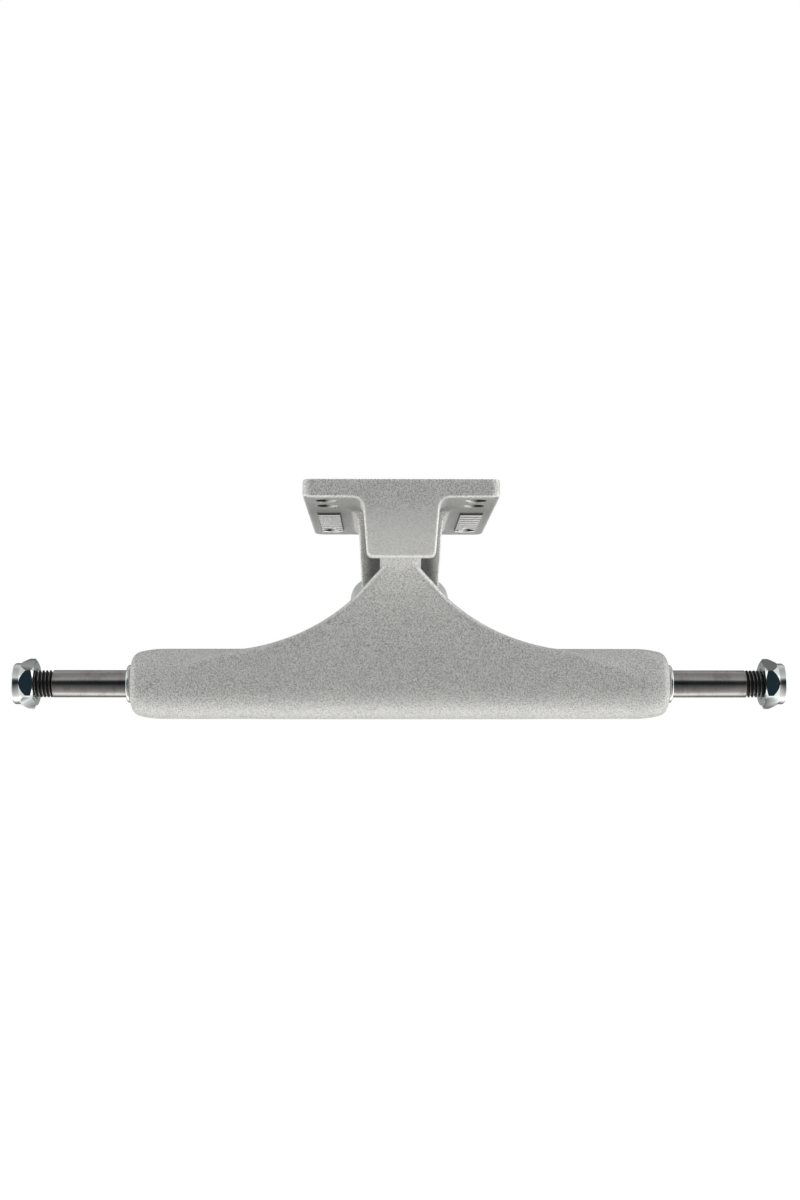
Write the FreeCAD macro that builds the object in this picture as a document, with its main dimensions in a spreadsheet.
"""A skateboard truck, hung from the deck as it is ridden.

Millimetres and degrees. X runs along the axle, Z points up to the deck, and Y runs from the pivot
end of the base plate to the kingpin end. The origin is the middle of the bolt pattern on the face
that meets the deck.
"""

import FreeCAD, Part
import collections
import math
import os
import Sketcher

SIZES = {
    "base plate": {
        "plate_width": 54.0,
        "plate_length": 79.5,
        "plate_thickness": 5.0,
        "plate_corner_radius": 3.0,
        "plate_edge_radius": 0.8,
        "bolt_spacing_across": 41.28,
        "bolt_outer_spacing": 63.5,
        "bolt_inner_spacing": 53.98,
        "bolt_hole_radius": 2.75,
    },
    "pivot housing": {
        "housing_depth": 21.0,
        "housing_front_bend": 39.35,
        "housing_top_half_width": 10.4,
        "housing_foot_half_width": 9.5,
        "housing_root_radius": 2.8,
        "housing_foot_radius": 1.6,
        "pivot_place_y": -27.6,
        "pivot_place_z": -12.4,
    },
    "kingpin boss": {
        "seat_place_y": 9.0,
        "seat_place_z": -26.6,
        "seat_radius": 12.2,
        "boss_top_half_width": 12.0,
        "boss_foot_half_width": 10.7,
        "boss_root_radius": 4.5,
        "boss_front_wall": 2.0,
        "boss_rear_y": 21.5,
    },
    "raised bars on the underside": {
        "bar_count": 9,
        "bar_width": 2.4,
        "bar_length": 6.5,
        "bar_pitch": 4.3,
        "bar_height": 0.8,
        "bar_inner_x": 17.4,
        "bar_first_y": -10.4,
    },
    "pivot cup": {
        "cup_mouth_radius": 8.0,
        "cup_foot_radius": 6.2,
        "cup_depth": 8.2,
        "cup_lip_radius": 8.5,
        "cup_lip_height": 1.0,
        "cup_floor": 1.6,
        "cup_clearance": 0.05,
    },
    "kingpin and its nut": {
        "kingpin_tilt": 37.0,
        "kingpin_radius": 4.7625,
        "kingpin_clearance": 0.05,
        "kingpin_head_radius": 7.0,
        "kingpin_head_height": 5.0,
        "kingpin_head_sink": 4.6,
        "kingpin_head_clearance": 0.4,
        "kingpin_socket_across": 6.35,
        "kingpin_socket_depth": 3.2,
        "kingpin_tip": 1.0,
        "kingpin_thread_count": 15,
        "kingpin_nut_across": 14.29,
        "kingpin_nut_height": 5.6,
        "kingpin_collar_radius": 6.3,
    },
    "bushings and their washers": {
        "bushing_radius": 12.5,
        "bushing_waist": 0.5,
        "bushing_edge": 1.2,
        "bushing_bore_radius": 5.05,
        "bushing_gap": 0.1,
        "board_bushing_height": 13.5,
        "road_bushing_height": 10.0,
        "road_bushing_tip_radius": 8.8,
        "washer_thickness": 1.6,
        "board_washer_radius": 14.7,
        "board_washer_rim": 3.6,
        "road_washer_radius": 10.5,
        "washer_bore_radius": 4.95,
    },
    "hanger": {
        "axle_place_y": -3.0,
        "axle_place_z": -54.35,
        "barrel_half_length": 77.8,
        "barrel_radius": 10.3,
        "barrel_face_radius": 7.0,
        "barrel_shoulder_radius": 9.4,
        "barrel_shoulder_length": 2.4,
        "barrel_taper_length": 8.5,
        "barrel_corner_bend": 3.1,
        "barrel_taper_bend": 34.0,
        "web_bend_z": -46.0,
        "web_bend_radius": 38.0,
        "web_top_z": -18.8,
        "web_back_top_y": -14.5,
        "web_back_y": -3.8,
        "web_back_z": -36.0,
        "web_foot_y": 1.5,
        "web_foot_z": -45.2,
        "web_edge_radius": 1.4,
        "wing_neck_half_width": 2.4,
        "wing_straight_x": 13.5,
        "wing_straight_z": -30.2,
        "wing_end_x": 46.0,
        "wing_end_z": -44.6,
        "wing_bend_radius": 58.3,
        "wing_fade_x": 72.0,
        "wing_fade_radius": 56.0,
        "neck_radius": 5.9,
        "neck_tip_radius": 4.7,
        "neck_tip_rounding": 3.0,
        "neck_length": 19.0,
        "neck_tail_length": 25.0,
        "neck_boss_space": 2.6,
        "nose_clearance": 0.08,
        "ring_radius": 16.5,
        "ring_web": 6.5,
        "ring_lip": 1.8,
        "ring_hole_radius": 7.0,
        "ring_recess_radius": 13.1,
        "yoke_straight": 5.0,
        "yoke_half_width": 26.0,
        "yoke_bend_radius": 30.0,
        "space_round_washer": 0.9,
    },
    "axle, its nuts and speed rings": {
        "axle_half_length": 112.0,
        "axle_radius": 3.97,
        "axle_stock_radius": 4.3,
        "axle_seat_gap": 0.05,
        "axle_tip": 0.8,
        "axle_fit": 0.02,
        "thread_pitch": 1.0583,
        "thread_depth": 0.62,
        "axle_thread_count": 10,
        "running_clearance": 0.08,
        "nut_across": 12.7,
        "nut_height": 4.1,
        "nut_collar_radius": 6.0,
        "nut_collar_height": 2.3,
        "nut_chamfer_share": 0.6,
        "nut_taper_share": 3.0,
        "insert_radius": 5.1,
        "insert_height": 1.5,
        "insert_clearance": 0.04,
        "ring_outer_radius": 5.5,
        "ring_thickness": 1.05,
        "ring_face_gap": 0.3,
        "ring_chamfer": 0.3,
    },
    "cutting": {
        "overrun": 2.0,
    },
}

document = FreeCAD.newDocument("SkateboardTruck")
sheet = document.addObject("Spreadsheet::Sheet", "Sizes")


class Size:
    """A size with its number now and the expression that keeps it tied to the sheet."""

    def __init__(self, number, text):
        self.number = number
        self.text = text

    def joined(self, other, sign, number):
        return Size(number, "(%s %s %s)" % (self.text, sign, other.text))

    def __add__(self, other):
        other = sized(other)
        return self.joined(other, "+", self.number + other.number)

    def __sub__(self, other):
        other = sized(other)
        return self.joined(other, "-", self.number - other.number)

    def __mul__(self, other):
        other = sized(other)
        return self.joined(other, "*", self.number * other.number)

    def __truediv__(self, other):
        other = sized(other)
        return self.joined(other, "/", self.number / other.number)

    def __radd__(self, other):
        return sized(other) + self

    def __rsub__(self, other):
        return sized(other) - self

    def __rmul__(self, other):
        return sized(other) * self

    def __neg__(self):
        return Size(-self.number, "(-%s)" % self.text)


def sized(value):
    """Gives a plain count or zero the same form as a size."""
    return value if isinstance(value, Size) else Size(value, str(value))


def cosine(angle):
    return Size(math.cos(math.radians(angle.number)), "cos(%s)" % angle.text)


def sine(angle):
    return Size(math.sin(math.radians(angle.number)), "sin(%s)" % angle.text)


def slope_angle(rise, run):
    """The angle in degrees of a line that climbs rise over run."""
    number = math.degrees(math.atan(rise.number / run.number))
    return Size(number, "(atan(%s / %s) / 1 deg)" % (rise.text, run.text))


def fill_sheet():
    """Writes each named size to its own cell, under its own alias."""
    row = 1
    for group, sizes in SIZES.items():
        sheet.set("A%d" % row, group)
        row += 1
        for name, value in sizes.items():
            sheet.set("A%d" % row, name)
            sheet.set("B%d" % row, str(value))
            sheet.setAlias("B%d" % row, name)
            row += 1
    document.recompute()


def size(name):
    return Size(float(sheet.get(name)), "Sizes.%s" % name)


def count(name):
    return int(sheet.get(name))


def bind(thing, prop, value):
    thing.setExpression(prop, value.text)


# Outlines. Each stop says where the outline goes next, and whether it gets there straight or round an arc.

Line = collections.namedtuple("Line", "x y")
Arc = collections.namedtuple("Arc", "x y radius turn")


def point(stop):
    return FreeCAD.Vector(sized(stop.x).number, sized(stop.y).number, 0)


def arc_between(start, end, radius, turn):
    """The short arc from start to end that turns left or right."""
    chord = end - start
    across = FreeCAD.Vector(-chord.y, chord.x, 0).normalize()
    half = chord.Length / 2
    to_centre = math.sqrt(max(radius * radius - half * half, 0))
    side = 1 if turn == "left" else -1
    centre = start + chord / 2 + across * (side * to_centre)
    middle = centre - across * (side * radius)
    return Part.Arc(start, middle, end)


def mirrored(half):
    """Closes a right half outline, whose ends lie on the middle line, with its left half."""
    stops = list(half)
    for index in range(len(half) - 1, 0, -1):
        arriving, target = half[index], half[index - 1]
        x = -target.x if isinstance(target.x, Size) else target.x
        stop = Line(x, target.y)
        if isinstance(arriving, Arc):
            stop = Arc(x, target.y, arriving.radius, arriving.turn)
        if index > 1:
            stops.append(stop)
        else:
            stops[0] = stop
    return stops


def place_corner(sketch, edge, end, coordinate, value):
    """Holds one coordinate of a corner at its size, or on the axis where it is zero."""
    if isinstance(value, Size):
        kind = "DistanceX" if coordinate == "x" else "DistanceY"
        held = sketch.addConstraint(Sketcher.Constraint(kind, -1, 1, edge, end, value.number))
        sketch.setExpression("Constraints[%d]" % held, value.text)
    else:
        axis = -2 if coordinate == "x" else -1
        sketch.addConstraint(Sketcher.Constraint("PointOnObject", edge, end, axis))


def trace(sketch, stops):
    """Draws a closed outline and binds its corners and arcs to their sizes."""
    ends = []
    for index, stop in enumerate(stops):
        start, end = point(stops[index - 1]), point(stop)
        if isinstance(stop, Arc):
            edge = sketch.addGeometry(arc_between(start, end, stop.radius.number, stop.turn), False)
        else:
            edge = sketch.addGeometry(Part.LineSegment(start, end), False)
        first, last = sketch.getPoint(edge, 1), sketch.getPoint(edge, 2)
        forward = first.distanceToPoint(start) <= last.distanceToPoint(start)
        ends.append((edge, 1, 2) if forward else (edge, 2, 1))
    for index, stop in enumerate(stops):
        edge, start, end = ends[index]
        before, _, before_end = ends[index - 1]
        sketch.addConstraint(Sketcher.Constraint("Coincident", before, before_end, edge, start))
        place_corner(sketch, edge, end, "x", stop.x)
        place_corner(sketch, edge, end, "y", stop.y)
        if isinstance(stop, Arc):
            held = sketch.addConstraint(Sketcher.Constraint("Radius", edge, stop.radius.number))
            sketch.setExpression("Constraints[%d]" % held, stop.radius.text)


# Directions that a sketch or a piece can face.

ACROSS = FreeCAD.Rotation(FreeCAD.Vector(1, 0, 0), 90)
ALONG = FreeCAD.Rotation(FreeCAD.Vector(1, 1, 1), 120)
TO_RIGHT = FreeCAD.Rotation(FreeCAD.Vector(0, 1, 0), 90)
TO_LEFT = FreeCAD.Rotation(FreeCAD.Vector(0, 1, 0), -90)


def place(thing, rotation, y, z):
    """Puts a thing at a named place in the middle plane."""
    thing.Placement = FreeCAD.Placement(FreeCAD.Vector(0, 0, 0), rotation)
    bind(thing, "Placement.Base.y", sized(y))
    bind(thing, "Placement.Base.z", sized(z))


def lean(thing, tilt, y, z):
    """Turns a thing so that its own Z points down and back, tilted from the vertical, and its own Y points
    down and forward."""
    place(thing, FreeCAD.Rotation(FreeCAD.Vector(1, 0, 0), 180 + tilt.number), y, z)
    bind(thing, "Placement.Rotation.Angle", 180 + tilt)


def add_sketch(name, stops, rotation, y=0, z=0):
    sketch = document.addObject("Sketcher::SketchObject", name)
    trace(sketch, stops)
    place(sketch, rotation, y, z)
    return sketch


def extruded(name, sketch, length, middle=False):
    solid = document.addObject("Part::Extrusion", name)
    solid.Base = sketch
    solid.DirMode = "Normal"
    solid.Solid = True
    solid.Symmetric = middle
    bind(solid, "LengthFwd", length)
    return solid


def combined(kind, name, shapes, label=None):
    """Fuses, or intersects, several solids into one."""
    solid = document.addObject(kind, name)
    solid.Shapes = shapes
    solid.Refine = True
    solid.Label = label or name
    return solid


def cut_from(name, base, tool, label=None):
    solid = document.addObject("Part::Cut", name)
    solid.Base = base
    solid.Tool = tool
    solid.Refine = True
    solid.Label = label or name
    return solid


def cylinder(name, radius, height, angle, y, z, start):
    """A cylinder along the leaning axis, from start along that axis."""
    solid = document.addObject("Part::Cylinder", name)
    bind(solid, "Radius", radius)
    bind(solid, "Height", height)
    lean(solid, angle, *along_lean(y, z, angle, start))
    return solid


def along_lean(y, z, tilt, distance):
    """The place that lies a distance down the leaning axis from y, z."""
    return y + distance * sine(tilt), z - distance * cosine(tilt)


def across_lean(y, z, tilt, distance):
    """The place that lies a distance up and back, square to the leaning axis, from y, z."""
    return y + distance * cosine(tilt), z + distance * sine(tilt)


# Pieces turned, padded and grooved in a body of their own, about its Z axis.


def new_body(name):
    body = document.addObject("PartDesign::Body", name)
    body.Label = name
    return body


def origin_plane(body, role):
    return [feature for feature in body.Origin.OriginFeatures if feature.Role == role][0]


def body_sketch(body, name, role, stops):
    sketch = body.newObject("Sketcher::SketchObject", name)
    sketch.AttachmentSupport = (origin_plane(body, role), [""])
    sketch.MapMode = "FlatFace"
    trace(sketch, stops)
    return sketch


def turn(body, name, stops, kind="PartDesign::Revolution"):
    """Adds, or grooves away, the solid that an outline sweeps about the body's Z axis."""
    sketch = body_sketch(body, name + "_outline", "XZ_Plane", stops)
    feature = body.newObject(kind, name)
    feature.Profile = sketch
    feature.ReferenceAxis = (sketch, ["V_Axis"])
    feature.Angle = 360
    return feature


def groove(body, name, stops):
    return turn(body, name, stops, "PartDesign::Groove")


def hexagon(across):
    """The corners of a hexagon that has two of them on the X axis."""
    corner = across / 2 / cosine(sized(30))
    return [Line(corner * cosine(sized(60 * side)) if side % 3 else (corner if side == 0 else -corner),
                 corner * sine(sized(60 * side)) if side % 3 else 0) for side in range(6)]


def hex_pad(body, name, across, height):
    feature = body.newObject("PartDesign::Pad", name)
    feature.Profile = body_sketch(body, name + "_outline", "XY_Plane", hexagon(across))
    bind(feature, "Length", height)
    return feature


def thread(body, name, radius, first, pitch, turns, upward):
    """Cuts rings of thread form into a shaft, one pitch apart, from the first one up or down."""
    depth = size("thread_depth")
    mouth = pitch / 2
    rise = mouth * (depth + size("axle_fit")) / depth
    outer = radius + size("axle_fit")
    ring = groove(body, name, [
        Line(radius - depth, first),
        Line(outer, first - rise),
        Line(outer, first + rise),
    ])
    rows = body.newObject("PartDesign::LinearPattern", name + "_rows")
    rows.Originals = [ring]
    rows.Direction = (ring.Profile[0], ["V_Axis"])
    rows.Reversed = not upward
    bind(rows, "Length", pitch * (turns - 1))
    rows.Occurrences = turns
    body.Tip = rows


def washer(name, radius, bore, thickness, edge):
    """A flat ring with its outer edges broken, from Z zero up."""
    body = new_body(name)
    turn(body, name + "_turned", [
        Line(bore, 0),
        Line(radius - edge, 0),
        Line(radius, edge),
        Line(radius, thickness - edge),
        Line(radius - edge, thickness),
        Line(bore, thickness),
    ])
    return body


def arc_sag(radius, rise):
    """How far an arc that starts straight up has bent away once it has risen that far."""
    number = radius.number - math.sqrt(radius.number ** 2 - rise.number ** 2)
    squares = "%s * %s - %s * %s" % (radius.text, radius.text, rise.text, rise.text)
    return Size(number, "(%s - sqrt(%s))" % (radius.text, squares))


def steering_tilt():
    """The steering axis, from the pivot to the middle of the hanger's ring, as a tilt from the vertical."""
    ring_y, ring_z = ring_middle()
    return 90 - slope_angle(size("pivot_place_z") - ring_z, ring_y - size("pivot_place_y"))


def stack_levels():
    """Distances down the kingpin from the seat on the boss to each piece of the stack."""
    washer_end = size("washer_thickness")
    board_end = washer_end + size("board_bushing_height")
    ring_start = board_end + size("bushing_gap")
    ring_end = ring_start + size("ring_web")
    road_start = ring_end + size("bushing_gap")
    road_end = road_start + size("road_bushing_height")
    nut_start = road_end + size("washer_thickness")
    nut_end = nut_start + size("kingpin_nut_height") + size("nut_collar_height")
    return {
        "board_bushing": washer_end,
        "ring_start": ring_start,
        "ring_end": ring_end,
        "road_bushing": road_start,
        "road_washer": road_end,
        "nut": nut_start,
        "tip": nut_end + size("kingpin_tip"),
    }


def on_kingpin(distance):
    return along_lean(size("seat_place_y"), size("seat_place_z"), size("kingpin_tilt"), distance)


def ring_middle():
    return on_kingpin(stack_levels()["ring_start"] + size("ring_web") / 2)


def head_level():
    """Distance down the kingpin, negative here, to the outer face of its head."""
    tilt = size("kingpin_tilt")
    return Size(
        (size("seat_place_z").number + size("kingpin_head_sink").number) / cosine(tilt).number,
        "((%s + %s) / %s)" % (size("seat_place_z").text, size("kingpin_head_sink").text, cosine(tilt).text),
    )


def stand_on_kingpin(body, level):
    lean(body, size("kingpin_tilt"), *on_kingpin(level))


def base_plate():
    width, length, thickness = size("plate_width"), size("plate_length"), size("plate_thickness")
    root, foot = size("housing_root_radius"), size("housing_foot_radius")
    top_half, foot_half = size("housing_top_half_width"), size("housing_foot_half_width")
    depth, overrun = size("housing_depth"), size("overrun")
    tilt = size("kingpin_tilt")

    front = add_sketch("plate_front_outline", mirrored([
        Line(0, 0),
        Line(width / 2, 0),
        Line(width / 2, -thickness),
        Line(top_half + root, -thickness),
        Arc(top_half, -(thickness + root), root, "left"),
        Line(foot_half, foot - depth),
        Arc(foot_half - foot, -depth, foot, "right"),
        Line(0, -depth),
    ]), ACROSS, y=length / 2)
    blank = extruded("plate_blank", front, length)

    steering = steering_tilt()
    pivot = size("pivot_place_y"), size("pivot_place_z")
    mouth_lean = cosine(steering) / sine(steering)
    mouth_top_y = pivot[0] - (thickness + pivot[1]) * mouth_lean
    mouth_foot_y = pivot[0] - (depth + overrun + pivot[1]) * mouth_lean
    behind = add_sketch("behind_housing_outline", [
        Line(mouth_top_y, -thickness),
        Line(length / 2 + overrun, -thickness),
        Line(length / 2 + overrun, -(depth + overrun)),
        Line(mouth_foot_y, -(depth + overrun)),
    ], ALONG)
    behind_housing = extruded("behind_housing", behind, width + overrun, middle=True)
    front_bend = size("housing_front_bend")
    lean_in = arc_sag(front_bend, depth + overrun - thickness)
    before = add_sketch("before_housing_outline", [
        Line(-(length / 2 + overrun), -thickness),
        Line(-(length / 2), -thickness),
        Arc(lean_in - length / 2, -(depth + overrun), front_bend, "left"),
        Line(-(length / 2 + overrun), -(depth + overrun)),
    ], ALONG)
    before_housing = extruded("before_housing", before, width + overrun, middle=True)
    spare = combined("Part::MultiFuse", "spare_round_housing", [behind_housing, before_housing])
    plate = cut_from("plate_and_housing", blank, spare)

    boss_root, seat = size("boss_root_radius"), size("seat_radius")
    seat_y, seat_z = size("seat_place_y"), size("seat_place_z")
    front_y, front_z = across_lean(seat_y, seat_z, tilt, -seat)
    back_y, back_z = across_lean(seat_y, seat_z, tilt, seat)
    head = head_level() + size("kingpin_head_height")
    pocket = size("kingpin_head_radius") + size("kingpin_head_clearance")
    wall = size("boss_front_wall")
    bend_y, bend_z = across_lean(*on_kingpin(head + wall), tilt, -(pocket + wall))
    root_y = bend_y + (bend_z + thickness) * sine(tilt) / cosine(tilt)
    root_reach = boss_root * sine((90 - tilt) / 2) / cosine((90 - tilt) / 2)
    root_foot = along_lean(root_y, -thickness, tilt, root_reach)
    boss_side = extruded("boss_side", add_sketch("boss_side_outline", [
        Line(root_y - root_reach, -thickness),
        Arc(*root_foot, boss_root, "right"),
        Line(bend_y, bend_z),
        Line(front_y, front_z),
        Line(back_y, back_z),
        Line(size("boss_rear_y"), -(thickness + boss_root)),
        Arc(size("boss_rear_y") + boss_root, -thickness, boss_root, "right"),
        Line(size("boss_rear_y") + boss_root, -thickness / 2),
        Line(root_y - root_reach, -thickness / 2),
    ], ALONG), width, middle=True)
    boss_face = extruded("boss_face", add_sketch("boss_face_outline", mirrored([
        Line(0, -thickness / 2),
        Line(size("boss_top_half_width") + boss_root, -thickness / 2),
        Line(size("boss_top_half_width") + boss_root, -thickness),
        Arc(size("boss_top_half_width"), -(thickness + boss_root), boss_root, "left"),
        Line(size("boss_foot_half_width"), front_z - overrun),
        Line(0, front_z - overrun),
    ]), ACROSS, y=length / 2), length)
    boss = combined("Part::MultiCommon", "kingpin_boss", [boss_side, boss_face])

    bars = []
    for side in (1, -1):
        for index in range(count("bar_count")):
            bar = document.addObject("Part::Box", "bar")
            bind(bar, "Length", size("bar_length"))
            bind(bar, "Width", size("bar_width"))
            bind(bar, "Height", size("bar_height") + thickness / 2)
            left_end = size("bar_inner_x") if side > 0 else -(size("bar_inner_x") + size("bar_length"))
            bind(bar, "Placement.Base.x", left_end)
            bind(bar, "Placement.Base.y", size("bar_first_y") + size("bar_pitch") * index)
            bind(bar, "Placement.Base.z", -(thickness + size("bar_height")))
            bars.append(bar)

    casting = combined("Part::MultiFuse", "plate_casting", [plate, boss] + bars)

    stack = seat_y, seat_z
    cup_cut = document.addObject("Part::Cone", "cup_bore")
    bind(cup_cut, "Radius1", size("cup_foot_radius") + size("cup_clearance"))
    bind(cup_cut, "Radius2", size("cup_mouth_radius") + size("cup_clearance"))
    bind(cup_cut, "Height", size("cup_depth"))
    lean(cup_cut, steering, *along_lean(*pivot, steering, -size("cup_depth")))
    pocket_depth = size("kingpin_head_height") + (size("kingpin_head_sink") + pocket) / cosine(tilt)
    tools = combined("Part::MultiFuse", "plate_bores", [
        cup_cut,
        cylinder("kingpin_bore", size("kingpin_radius") + size("kingpin_clearance"),
                 overrun - head, tilt, *stack, head),
        cylinder("kingpin_head_pocket", pocket, pocket_depth, tilt, *stack, head - pocket_depth),
    ])
    bored = cut_from("bored_plate", casting, tools)

    body = new_body("baseplate")
    body.BaseFeature = bored
    document.recompute()
    holes = body.newObject("Sketcher::SketchObject", "bolt_hole_circles")
    holes.AttachmentSupport = (origin_plane(body, "XY_Plane"), [""])
    holes.MapMode = "FlatFace"
    outer, hole = size("bolt_outer_spacing") / 2, size("bolt_hole_radius")
    inner = size("bolt_inner_spacing") - outer
    for side in (1, -1):
        for along in (-outer, -inner, outer):
            across = size("bolt_spacing_across") / 2 * side
            centre = FreeCAD.Vector(across.number, along.number, 0)
            circle = holes.addGeometry(Part.Circle(centre, FreeCAD.Vector(0, 0, 1), hole.number), False)
            place_corner(holes, circle, 3, "x", across)
            place_corner(holes, circle, 3, "y", along)
            held = holes.addConstraint(Sketcher.Constraint("Radius", circle, hole.number))
            holes.setExpression("Constraints[%d]" % held, hole.text)
    drilled = body.newObject("PartDesign::Pocket", "bolt_holes")
    drilled.Profile = holes
    drilled.Midplane = True
    bind(drilled, "Length", thickness * 4)
    document.recompute()
    soften(body, "plate_corners", size("plate_corner_radius"), plate_corner_edges(drilled.Shape))
    soften(body, "front_edges", size("plate_edge_radius"), front_edges(body.Shape))
    return body


def soften(body, name, radius, edges):
    """Rounds the named edges of a body's newest shape."""
    newest = body.Tip
    feature = body.newObject("PartDesign::Fillet", name)
    feature.Base = (newest, edges)
    bind(feature, "Radius", radius)
    document.recompute()


def edge_names(shape, wanted):
    return ["Edge%d" % (index + 1) for index, edge in enumerate(shape.Edges) if wanted(edge)]


def plate_corner_edges(shape):
    """The four upright edges at the corners of the plate."""
    x, y = size("plate_width").number / 2, size("plate_length").number / 2
    near = size("plate_edge_radius").number
    return edge_names(shape, lambda edge: (
        abs(abs(edge.CenterOfMass.x) - x) < near and abs(abs(edge.CenterOfMass.y) - y) < near))


def front_edges(shape):
    """The edges that frame the front of the plate and its housing, apart from the deck side's."""
    y, underside = -size("plate_length").number / 2, -size("plate_thickness").number
    near, bend = size("plate_edge_radius").number / 4, size("housing_front_bend").number

    def on_front(vertex):
        sunk = max(underside - vertex.Z, 0)
        return abs(vertex.Y - y - bend + (bend * bend - sunk * sunk) ** 0.5) < near

    def crosses_the_front(edge):
        middle = edge.CenterOfMass
        return abs(middle.x) < near and abs(middle.z - underside) < near

    return edge_names(shape, lambda edge: (
        all(on_front(vertex) for vertex in edge.Vertexes) and edge.CenterOfMass.z < -near
        and not crosses_the_front(edge)))


def pivot_cup():
    """A soft cup in the housing, whose hollow takes the nose of the hanger."""
    body = new_body("pivot_cup")
    depth, floor = size("cup_depth"), size("cup_floor") - size("cup_depth")
    lip, gap = size("cup_lip_height"), size("nose_clearance")
    tip, rounding = size("neck_tip_radius"), size("neck_tip_rounding")
    turn(body, "cup_turned", [
        Line(0, -depth),
        Line(size("cup_foot_radius"), -depth),
        Line(size("cup_mouth_radius"), 0),
        Line(size("cup_lip_radius"), 0),
        Line(size("cup_lip_radius"), lip),
        Line(size("neck_radius") + gap, lip),
        Line(tip + gap, floor + gap + rounding),
        Arc(tip - rounding, floor, rounding + gap, "right"),
        Line(0, floor),
    ])
    lean(body, steering_tilt(), size("pivot_place_y"), size("pivot_place_z"))
    return body


def kingpin():
    body = new_body("kingpin")
    radius, head = size("kingpin_radius"), head_level()
    head_end = head + size("kingpin_head_height")
    tip, edge = stack_levels()["tip"], size("kingpin_tip")
    turn(body, "kingpin_turned", [
        Line(0, head),
        Line(size("kingpin_head_radius") - edge, head),
        Line(size("kingpin_head_radius"), head + edge),
        Line(size("kingpin_head_radius"), head_end),
        Line(radius, head_end),
        Line(radius, tip - edge),
        Line(radius - edge, tip),
        Line(0, tip),
    ])
    socket = body.newObject("PartDesign::Pocket", "kingpin_socket")
    across = hexagon(size("kingpin_socket_across"))
    outline = body_sketch(body, "kingpin_socket_outline", "XY_Plane", across)
    bind(outline, "AttachmentOffset.Base.z", head)
    socket.Profile = outline
    socket.Reversed = True
    bind(socket, "Length", size("kingpin_socket_depth"))
    thread(body, "kingpin_thread", radius, tip - edge - size("thread_pitch"), size("thread_pitch"),
           count("kingpin_thread_count"), upward=False)
    stand_on_kingpin(body, sized(0))
    return body


def lock_nut(name, across, height, collar, bore):
    """A hexagon nut with a round collar that is hollow for its nylon insert, from Z zero up."""
    body = new_body(name)
    collar_height = size("nut_collar_height")
    rise = across / 2 / cosine(sized(30)) - across / 2
    chamfer, taper = rise * size("nut_chamfer_share"), rise * size("nut_taper_share")
    corner = across / 2 / cosine(sized(30)) + size("running_clearance")
    flat = across / 2
    insert = insert_radius(bore) + size("insert_clearance")
    floor = height + collar_height - size("insert_height") - size("insert_clearance") * 2 - insert_lip()
    roof = height + collar_height - insert_lip()
    hex_pad(body, name + "_hexagon", across, height)
    turn(body, name + "_collar", [
        Line(0, height / 2),
        Line(flat - size("ring_chamfer"), height / 2),
        Line(flat - size("ring_chamfer"), height),
        Line(collar, height + size("ring_chamfer")),
        Line(collar, height + collar_height - insert_lip()),
        Line(collar - insert_lip(), height + collar_height),
        Line(0, height + collar_height),
    ])
    groove(body, name + "_foot_chamfer", [
        Line(flat, 0),
        Line(corner, 0),
        Line(corner, chamfer),
    ])
    groove(body, name + "_head_taper", [
        Line(flat, height),
        Line(corner, height - taper),
        Line(corner, height),
    ])
    groove(body, name + "_bore", [
        Line(0, 0),
        Line(bore, 0),
        Line(bore, floor),
        Line(insert, floor),
        Line(insert, roof),
        Line(insert - insert_lip(), height + collar_height),
        Line(0, height + collar_height),
    ])
    return body


def insert_lip():
    """How far the collar is rolled over the insert."""
    return size("ring_chamfer") * 2


def insert_radius(bore):
    """The insert is as much wider than the thread as on the axle nuts."""
    return bore + (size("insert_radius") - size("axle_radius"))


def nylon_insert(name, bore, level):
    body = new_body(name)
    edge = size("ring_chamfer")
    outer = insert_radius(bore)
    turn(body, name + "_turned", [
        Line(bore, level),
        Line(outer, level),
        Line(outer, level + size("insert_height") - edge),
        Line(outer - insert_lip(), level + size("insert_height")),
        Line(bore, level + size("insert_height")),
    ])
    return body


def insert_level(height):
    """How far the insert's inner face lies above the nut's foot."""
    return (height + size("nut_collar_height") - size("insert_height")
            - size("insert_clearance") - insert_lip())


def bushing(name, height, tip_radius, level):
    """A soft bushing round the kingpin, from its wide or first end."""
    body = new_body(name)
    radius, edge, bore = size("bushing_radius"), size("bushing_edge"), size("bushing_bore_radius")
    waist = size("bushing_waist")
    turn(body, name + "_turned", [
        Line(bore, 0),
        Line(radius - edge, 0),
        Arc(radius, edge, edge, "left"),
        Line(radius - waist, height / 2 if tip_radius is radius else height / 4),
        Line(tip_radius, height - edge),
        Arc(tip_radius - edge, height, edge, "left"),
        Line(bore, height),
    ])
    stand_on_kingpin(body, level)
    return body


def board_side_washer():
    """A cup washer whose rim hangs down round the bushing."""
    body = new_body("board_side_washer")
    radius, sheet_thickness = size("board_washer_radius"), size("washer_thickness")
    bend, rim = size("washer_thickness"), size("board_washer_rim")
    turn(body, "cup_washer_turned", [
        Line(size("washer_bore_radius"), 0),
        Line(radius - bend, 0),
        Arc(radius, bend, bend, "left"),
        Line(radius, rim),
        Line(radius - sheet_thickness / 2, rim),
        Line(radius - sheet_thickness, sheet_thickness),
        Line(size("washer_bore_radius"), sheet_thickness),
    ])
    stand_on_kingpin(body, sized(0))
    return body


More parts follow.
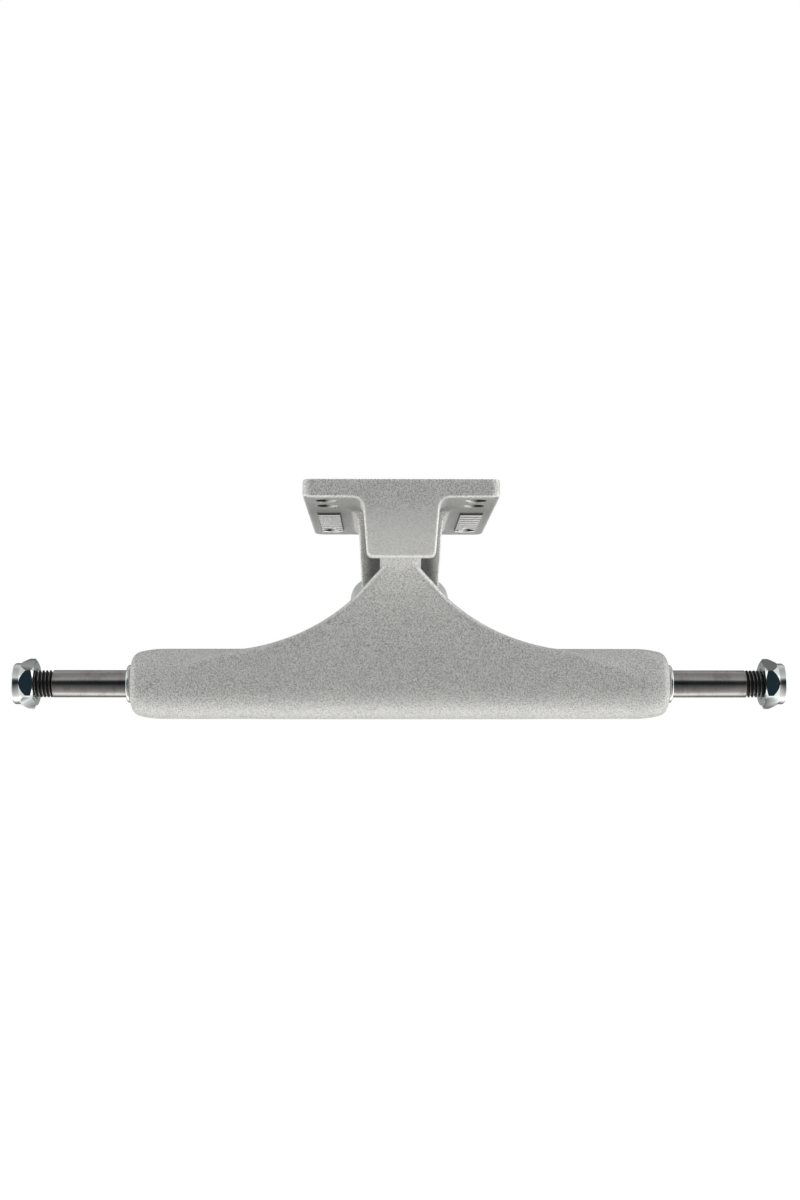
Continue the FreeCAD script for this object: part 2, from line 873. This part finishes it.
def hanger():
    axle_y, axle_z = size("axle_place_y"), size("axle_place_z")
    radius, overrun = size("barrel_radius"), size("overrun")
    half, steering, tilt = size("barrel_half_length"), steering_tilt(), size("kingpin_tilt")

    barrel = new_body("hanger_barrel")
    shoulder, face = size("barrel_shoulder_radius"), size("barrel_face_radius")
    shoulder_z, taper_z = half - size("barrel_shoulder_length"), half - size("barrel_taper_length")
    turn(barrel, "barrel_turned", [
        Line(0, -half),
        Line(face, -half),
        Arc(shoulder, -shoulder_z, size("barrel_corner_bend"), "left"),
        Arc(radius, -taper_z, size("barrel_taper_bend"), "left"),
        Line(radius, taper_z),
        Arc(shoulder, shoulder_z, size("barrel_taper_bend"), "left"),
        Arc(face, half, size("barrel_corner_bend"), "left"),
        Line(0, half),
    ])
    place(barrel, TO_RIGHT, axle_y, axle_z)

    web_front, bend = axle_y - radius, size("web_bend_radius")
    lean_back = arc_sag(bend, size("web_top_z") - size("web_bend_z"))
    web_side = extruded("web_side", add_sketch("web_side_outline", [
        Line(web_front, axle_z),
        Line(web_front, size("web_bend_z")),
        Arc(web_front - lean_back, size("web_top_z"), bend, "left"),
        Line(size("web_back_top_y"), size("web_top_z")),
        Line(size("web_back_y"), size("web_back_z")),
        Line(size("web_foot_y"), size("web_foot_z")),
        Line(axle_y + radius / 2, axle_z),
    ], ALONG), half * 2, middle=True)
    web_face = extruded("web_face", add_sketch("web_face_outline", [
        Line(0, axle_z),
        Line(0, size("web_top_z")),
        Line(size("wing_neck_half_width"), size("web_top_z")),
        Line(size("wing_straight_x"), size("wing_straight_z")),
        Arc(size("wing_end_x"), size("wing_end_z"), size("wing_bend_radius"), "left"),
        Arc(size("wing_fade_x"), axle_z, size("wing_fade_radius"), "right"),
    ], ACROSS, y=radius * 4), radius * 12)
    wing = new_body("right_wing")
    wing.BaseFeature = combined("Part::MultiCommon", "wing_blank", [web_side, web_face])
    document.recompute()
    soften(wing, "wing_edge", size("web_edge_radius"), wing_edges(wing.Shape))
    other_wing = document.addObject("Part::Mirroring", "left_wing")
    other_wing.Source = wing
    other_wing.Normal = FreeCAD.Vector(1, 0, 0)

    neck = new_body("hanger_neck")
    tip, tip_edge = size("neck_tip_radius"), size("neck_tip_rounding")
    nose_end = size("cup_floor") + size("nose_clearance") - size("cup_depth")
    turn(neck, "neck_turned", [
        Line(0, nose_end),
        Line(tip - tip_edge, nose_end),
        Arc(tip, nose_end + tip_edge, tip_edge, "left"),
        Line(size("neck_radius"), size("cup_lip_height")),
        Line(size("neck_radius"), size("neck_length")),
        Line(0, size("neck_tail_length")),
    ])
    lean(neck, steering, size("pivot_place_y"), size("pivot_place_z"))

    levels = stack_levels()
    ring_y, ring_z = ring_middle()
    lip_start = levels["ring_start"] - size("ring_lip")
    thickness = size("ring_web") + size("ring_lip") * 2
    ring_radius, yoke_half = size("ring_radius"), size("yoke_half_width")
    reach = (ring_y - axle_y) * cosine(tilt) + (ring_z - axle_z) * sine(tilt)
    yoke_outline = document.addObject("Sketcher::SketchObject", "yoke_outline")
    trace(yoke_outline, mirrored([
        Line(0, -ring_radius),
        Arc(ring_radius, 0, ring_radius, "left"),
        Line(ring_radius, size("yoke_straight")),
        Arc(yoke_half, reach, size("yoke_bend_radius"), "right"),
        Line(0, reach),
    ]))
    lean(yoke_outline, tilt, *on_kingpin(lip_start))
    yoke = extruded("hanger_yoke", yoke_outline, thickness)

    casting = combined("Part::MultiFuse", "hanger_casting", [barrel, wing, other_wing, neck, yoke])
    stack = size("seat_place_y"), size("seat_place_z")
    recess = size("ring_recess_radius")
    axle_bore = document.addObject("Part::Cylinder", "axle_bore")
    bind(axle_bore, "Radius", size("axle_stock_radius") + size("axle_fit"))
    bind(axle_bore, "Height", (half + overrun) * 2)
    place(axle_bore, TO_RIGHT, axle_y, axle_z)
    bind(axle_bore, "Placement.Base.x", -(half + overrun))
    washer_space = size("board_washer_rim") + size("space_round_washer")
    boss_space = size("neck_tail_length") + overrun
    tools = combined("Part::MultiFuse", "hanger_bores", [
        cylinder("boss_space", size("seat_radius") + size("neck_boss_space"), boss_space, tilt, *stack,
                 -boss_space),
        axle_bore,
        cylinder("ring_hole", size("ring_hole_radius"), thickness + overrun * 2, tilt, *stack,
                 lip_start - overrun),
        cylinder("board_bushing_space", recess, levels["ring_start"] + overrun, tilt, *stack, -overrun),
        cylinder("road_bushing_space", recess, size("ring_lip") + overrun, tilt, *stack,
                 levels["ring_end"]),
        cylinder("washer_space", size("board_washer_radius") + size("space_round_washer"),
                 washer_space + overrun, tilt, *stack, -overrun),
    ])
    return cut_from("bored_hanger", casting, tools, label="hanger")


def flat_across(edge):
    """Whether an edge lies square across the truck, at one height and one depth."""
    first, last = edge.Vertexes[0], edge.Vertexes[-1]
    near = size("axle_fit").number
    return abs(first.Z - last.Z) < near and abs(first.Y - last.Y) < near


def wing_edges(shape):
    """The edges where the front of the web meets the side of the neck and the wing."""
    front = size("axle_place_y").number - size("barrel_radius").number
    axle_z, web_top_z = size("axle_place_z").number, size("web_top_z").number
    near = size("axle_fit").number

    def on_front(vertex):
        rise = sized(max(vertex.Z - size("web_bend_z").number, 0))
        return abs(vertex.Y - front + arc_sag(size("web_bend_radius"), rise).number) < near

    def wanted(edge):
        middle = edge.CenterOfMass
        outward = middle.x > near and axle_z + near < middle.z < web_top_z - near
        return outward and not flat_across(edge) and all(on_front(vertex) for vertex in edge.Vertexes)

    return edge_names(shape, wanted)


def axle():
    body = new_body("axle")
    half, radius, tip = size("axle_half_length"), size("axle_radius"), size("axle_tip")
    stock = size("axle_stock_radius")
    ring_end = size("barrel_half_length") + size("ring_face_gap") + size("ring_thickness")
    seat = ring_end + size("axle_seat_gap")
    turn(body, "axle_turned", [
        Line(0, -half),
        Line(radius - tip, -half),
        Line(radius, tip - half),
        Line(radius, -seat),
        Line(stock, -seat),
        Line(stock, seat),
        Line(radius, seat),
        Line(radius, half - tip),
        Line(radius - tip, half),
        Line(0, half),
    ])
    pitch, turns = size("thread_pitch"), count("axle_thread_count")
    first = half - tip - pitch / 2
    thread(body, "right_thread", radius, first, pitch, turns, upward=False)
    thread(body, "left_thread", radius, -first, pitch, turns, upward=True)
    place(body, TO_RIGHT, size("axle_place_y"), size("axle_place_z"))
    return body


def shift_out(body, side, distance):
    """Puts a turned piece on the axle, its own Z pointing out to its side."""
    place(body, TO_RIGHT if side > 0 else TO_LEFT, size("axle_place_y"), size("axle_place_z"))
    bind(body, "Placement.Base.x", distance if side > 0 else -distance)


def axle_end(side, word):
    """The nut with its insert, and the speed ring, on one end of the axle."""
    height, collar = size("nut_height"), size("nut_collar_height")
    bore = size("axle_radius") + size("running_clearance") / 2
    nut_foot = size("axle_half_length") - height - collar
    ring_bore = size("axle_stock_radius") + size("running_clearance")

    nut = lock_nut("axle_nut_" + word, size("nut_across"), height, size("nut_collar_radius"), bore)
    shift_out(nut, side, nut_foot)
    insert = nylon_insert("axle_nut_insert_" + word, bore, insert_level(height))
    shift_out(insert, side, nut_foot)
    ring = washer("speed_ring_" + word, size("ring_outer_radius"), ring_bore, size("ring_thickness"),
                  size("ring_chamfer"))
    shift_out(ring, side, size("barrel_half_length") + size("ring_face_gap"))
    return [nut, insert, ring]


def kingpin_stack():
    """Everything that the kingpin clamps, from the boss down to the nut."""
    levels = stack_levels()
    bore = size("kingpin_radius") + size("running_clearance") / 2
    height = size("kingpin_nut_height")
    board = bushing("board_side_bushing", size("board_bushing_height"), size("bushing_radius"),
                    levels["board_bushing"])
    road = bushing("road_side_bushing", size("road_bushing_height"), size("road_bushing_tip_radius"),
                   levels["road_bushing"])
    road_washer = washer("road_side_washer", size("road_washer_radius"), size("washer_bore_radius"),
                         size("washer_thickness"), size("ring_chamfer"))
    stand_on_kingpin(road_washer, levels["road_washer"])
    nut = lock_nut("kingpin_nut", size("kingpin_nut_across"), height, size("kingpin_collar_radius"), bore)
    stand_on_kingpin(nut, levels["nut"])
    insert = nylon_insert("kingpin_nut_insert", bore, insert_level(height))
    stand_on_kingpin(insert, levels["nut"])
    return [board_side_washer(), board, road, road_washer, nut, insert]


def check(things):
    """Stops if an object failed, or if a piece is not one sound solid."""
    for thing in document.Objects:
        if "Invalid" in thing.State or "Error" in thing.State:
            raise RuntimeError("%s failed: %s" % (thing.Label, thing.getStatusString()))
    for piece in things:
        if piece.Shape.isNull() or not piece.Shape.isValid() or len(piece.Shape.Solids) != 1:
            raise RuntimeError("%s is not one sound solid" % piece.Label)


def main():
    fill_sheet()
    pieces = [base_plate(), pivot_cup(), kingpin(), hanger(), axle()]
    pieces += kingpin_stack()
    for side, word in ((1, "right"), (-1, "left")):
        pieces += axle_end(side, word)
    document.recompute()
    check(pieces)
    os.makedirs("parts", exist_ok=True)
    for piece in pieces:
        piece.Shape.exportStep(os.path.join("parts", piece.Label + ".step"))
        box = piece.Shape.optimalBoundingBox()
        print("%-26s %9.1f mm3  x %.1f..%.1f  y %.1f..%.1f  z %.1f..%.1f" % (
            piece.Label, piece.Shape.Volume, box.XMin, box.XMax, box.YMin, box.YMax, box.ZMin, box.ZMax))


main()
